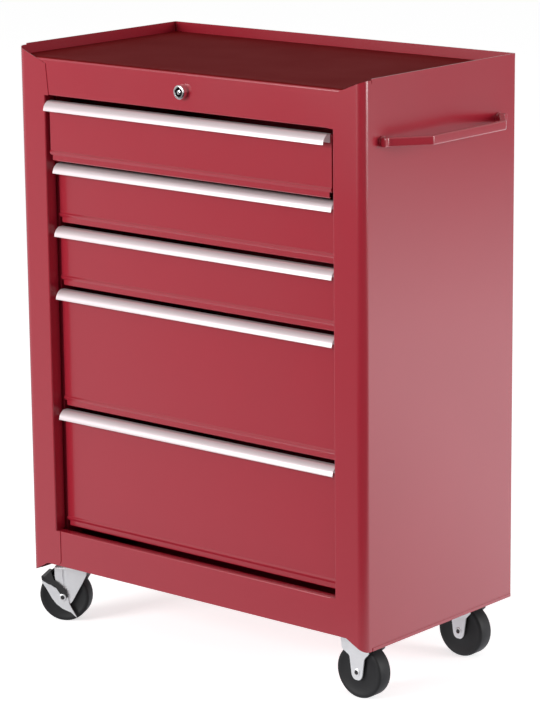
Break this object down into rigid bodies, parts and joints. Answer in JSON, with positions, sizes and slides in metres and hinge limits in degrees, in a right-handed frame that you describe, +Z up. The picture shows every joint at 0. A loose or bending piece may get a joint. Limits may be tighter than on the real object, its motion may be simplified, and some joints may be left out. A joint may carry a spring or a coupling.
{
  "type": "rolling tool cabinet",
  "caption": "Red sheet-steel rolling tool cabinet: full-width drawers with aluminium pulls, key lock, sunken top tray, side push handle, rigid and braked swivel casters.",
  "frame": {"origin": "on the floor, at the middle of the whole part's footprint (bounding box), handle and brake pedals included", "axes": "+X to the cabinet's right as seen from the front, towards the push handle; +Y from the drawer fronts to the back; +Z up"},
  "size_m": [0.6782, 0.3426, 0.844],
  "materials": {
    "red_paint": "glossy red powder coat",
    "pull_aluminium": "satin anodised aluminium extrusion",
    "zinc_steel": "bright zinc plate",
    "chrome": "bright chrome plate",
    "black_wheel": "moulded black wheel, semi-matt",
    "black_pedal": "black painted steel",
    "guide_plastic": "natural moulded nylon"
  },
  "bodies": {
    "cabinet": {"side_panel_left": "red_paint", "side_panel_right": "red_paint", "back_panel": "red_paint", "base_pan": "red_paint", "base_rail": "red_paint", "top_rail": "red_paint", "top_tray": "red_paint", "slide_uprights": "red_paint", "panel_screws": "zinc_steel", "side_handle": "red_paint", "handle_screws": "zinc_steel", "slide_channels": "zinc_steel", "lock_barrel": "chrome", "lock_nut": "zinc_steel", "lock_bar_guides": "guide_plastic", "lock_rod_bracket": "zinc_steel", "caster_bolts": "zinc_steel", "swivel_plates": "zinc_steel", "rigid_forks": "zinc_steel", "rigid_axles": "zinc_steel"},
    "drawer_1": {"drawer_1_box": "red_paint", "drawer_1_front": "red_paint", "drawer_1_pull": "pull_aluminium", "drawer_1_runners": "zinc_steel"},
    "cage_1": {"slide_cage_1": "zinc_steel"},
    "drawer_2": {"drawer_2_box": "red_paint", "drawer_2_front": "red_paint", "drawer_2_pull": "pull_aluminium", "drawer_2_runners": "zinc_steel"},
    "cage_2": {"slide_cage_2": "zinc_steel"},
    "drawer_3": {"drawer_3_box": "red_paint", "drawer_3_front": "red_paint", "drawer_3_pull": "pull_aluminium", "drawer_3_runners": "zinc_steel"},
    "cage_3": {"slide_cage_3": "zinc_steel"},
    "drawer_4": {"drawer_4_box": "red_paint", "drawer_4_front": "red_paint", "drawer_4_pull": "pull_aluminium", "drawer_4_runners": "zinc_steel"},
    "cage_4": {"slide_cage_4": "zinc_steel"},
    "drawer_5": {"drawer_5_box": "red_paint", "drawer_5_front": "red_paint", "drawer_5_pull": "pull_aluminium", "drawer_5_runners": "zinc_steel"},
    "cage_5": {"slide_cage_5": "zinc_steel"},
    "lock_plug": {"lock_plug": "chrome", "lock_rod": "zinc_steel"},
    "lock_bar": {"lock_bar": "zinc_steel"},
    "swivel_front_left": {"swivel_fork_front_left": "zinc_steel", "swivel_axle_front_left": "zinc_steel"},
    "wheel_front_left": {"wheel_front_left": "black_wheel"},
    "brake_front_left": {"brake_lever_front_left": "zinc_steel", "brake_pedal_front_left": "black_pedal"},
    "swivel_rear_left": {"swivel_fork_rear_left": "zinc_steel", "swivel_axle_rear_left": "zinc_steel"},
    "wheel_rear_left": {"wheel_rear_left": "black_wheel"},
    "brake_rear_left": {"brake_lever_rear_left": "zinc_steel", "brake_pedal_rear_left": "black_pedal"},
    "wheel_front_right": {"wheel_front_right": "black_wheel"},
    "wheel_rear_right": {"wheel_rear_right": "black_wheel"}
  },
  "joints": [
    {"name": "drawer_1_slide", "type": "slide", "parent": "cabinet", "child": "drawer_1", "axis": [0, -1, 0], "range_m": [-0.0155, 0.1845]},
    {"name": "cage_1_slide", "type": "slide", "parent": "cabinet", "child": "cage_1", "axis": [0, -1, 0], "range_m": [-0.00775, 0.09225]},
    {"name": "drawer_2_slide", "type": "slide", "parent": "cabinet", "child": "drawer_2", "axis": [0, -1, 0], "range_m": [0, 0.2]},
    {"name": "cage_2_slide", "type": "slide", "parent": "cabinet", "child": "cage_2", "axis": [0, -1, 0], "range_m": [0, 0.1]},
    {"name": "drawer_3_slide", "type": "slide", "parent": "cabinet", "child": "drawer_3", "axis": [0, -1, 0], "range_m": [0, 0.2]},
    {"name": "cage_3_slide", "type": "slide", "parent": "cabinet", "child": "cage_3", "axis": [0, -1, 0], "range_m": [0, 0.1]},
    {"name": "drawer_4_slide", "type": "slide", "parent": "cabinet", "child": "drawer_4", "axis": [0, -1, 0], "range_m": [0, 0.2]},
    {"name": "cage_4_slide", "type": "slide", "parent": "cabinet", "child": "cage_4", "axis": [0, -1, 0], "range_m": [0, 0.1]},
    {"name": "drawer_5_slide", "type": "slide", "parent": "cabinet", "child": "drawer_5", "axis": [0, -1, 0], "range_m": [0, 0.2]},
    {"name": "cage_5_slide", "type": "slide", "parent": "cabinet", "child": "cage_5", "axis": [0, -1, 0], "range_m": [0, 0.1]},
    {"name": "lock_turn", "type": "hinge", "parent": "cabinet", "child": "lock_plug", "pos_m": [-0.01689, -0.1593, 0.8035], "axis": [0, 1, 0], "range_deg": [0, 90]},
    {"name": "lock_bar_slide", "type": "slide", "parent": "cabinet", "child": "lock_bar", "axis": [0, 0, 1], "range_m": [-0.01414, 0]},
    {"name": "swivel_front_left", "type": "hinge", "parent": "cabinet", "child": "swivel_front_left", "pos_m": [-0.28589, -0.1123, 0.0842], "axis": [0, 0, 1], "continuous": true},
    {"name": "wheel_front_left", "type": "hinge", "parent": "swivel_front_left", "child": "wheel_front_left", "pos_m": [-0.29847, -0.11844, 0.0375], "axis": [0.4384, -0.8988, 0], "continuous": true},
    {"name": "brake_front_left", "type": "hinge", "parent": "swivel_front_left", "child": "brake_front_left", "pos_m": [-0.29847, -0.11844, 0.0375], "axis": [0.4384, -0.8988, 0], "range_deg": [0, 15]},
    {"name": "swivel_rear_left", "type": "hinge", "parent": "cabinet", "child": "swivel_rear_left", "pos_m": [-0.28589, 0.1147, 0.0842], "axis": [0, 0, 1], "continuous": true},
    {"name": "wheel_rear_left", "type": "hinge", "parent": "swivel_rear_left", "child": "wheel_rear_left", "pos_m": [-0.29847, 0.10856, 0.0375], "axis": [0.4384, -0.8988, 0], "continuous": true},
    {"name": "brake_rear_left", "type": "hinge", "parent": "swivel_rear_left", "child": "brake_rear_left", "pos_m": [-0.29847, 0.10856, 0.0375], "axis": [0.4384, -0.8988, 0], "range_deg": [0, 15]},
    {"name": "wheel_front_right", "type": "hinge", "parent": "cabinet", "child": "wheel_front_right", "pos_m": [0.25211, -0.1123, 0.0375], "axis": [0, 1, 0], "continuous": true},
    {"name": "wheel_rear_right", "type": "hinge", "parent": "cabinet", "child": "wheel_rear_right", "pos_m": [0.25211, 0.1147, 0.0375], "axis": [0, 1, 0], "continuous": true}
  ],
  "couplings": [
    {"joint": "cage_1_slide", "follows": "drawer_1_slide", "ratio": 0.5},
    {"joint": "cage_2_slide", "follows": "drawer_2_slide", "ratio": 0.5},
    {"joint": "cage_3_slide", "follows": "drawer_3_slide", "ratio": 0.5},
    {"joint": "cage_4_slide", "follows": "drawer_4_slide", "ratio": 0.5},
    {"joint": "cage_5_slide", "follows": "drawer_5_slide", "ratio": 0.5},
    {"joint": "lock_turn", "follows": "lock_bar_slide", "rad_per_m": -111.07}
  ]
}
